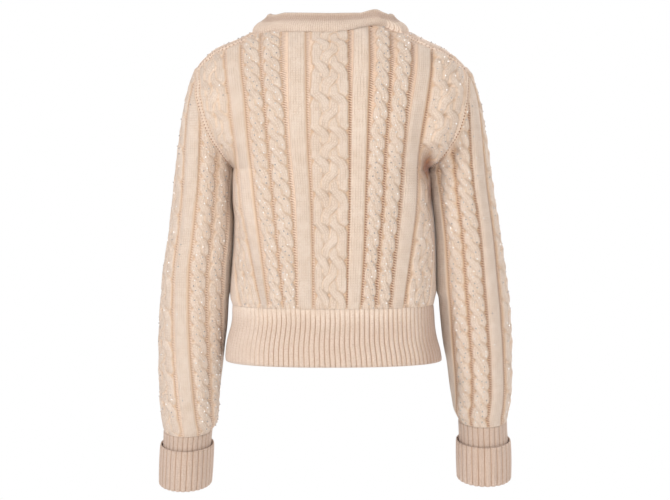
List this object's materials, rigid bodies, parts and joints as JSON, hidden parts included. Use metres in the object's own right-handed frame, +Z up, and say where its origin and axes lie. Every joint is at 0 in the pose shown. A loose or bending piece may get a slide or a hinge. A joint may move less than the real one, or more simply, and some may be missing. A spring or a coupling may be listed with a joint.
{
  "type": "cropped cable-knit wool cardigan",
  "caption": "Hollow cropped cable-knit wool cardigan in its worn form, with deep rib hem, neckband, buttoned front bands and turned-back rib cuffs.",
  "frame": {"origin": "the middle of the shoulder line, level with the high points of the shoulders beside the neck, where the wearer's shoulders hold the garment", "axes": "+Z up, the front faces -Y, +X towards the wearer's left"},
  "size_m": [0.5445, 0.2166, 0.7212],
  "materials": {
    "knit": "matte wool, cream blush",
    "rib": "matte ribbed wool, cream blush",
    "button": "satin pearl",
    "bead": "glossy pearl"
  },
  "bodies": {
    "root": {"back": "knit", "front_left": "knit", "front_right": "knit", "sleeve_left": "knit", "sleeve_right": "knit", "hem_rib_back": "rib", "hem_rib_front_left": "rib", "hem_rib_front_right": "rib", "cuff_left": "rib", "cuff_right": "rib", "neckband": "rib", "button_band_left": "rib", "button_band_right": "rib", "button_2": "button", "button_3": "button", "button_4": "button", "button_5": "button", "button_6": "button"}
  },
  "joints": []
}
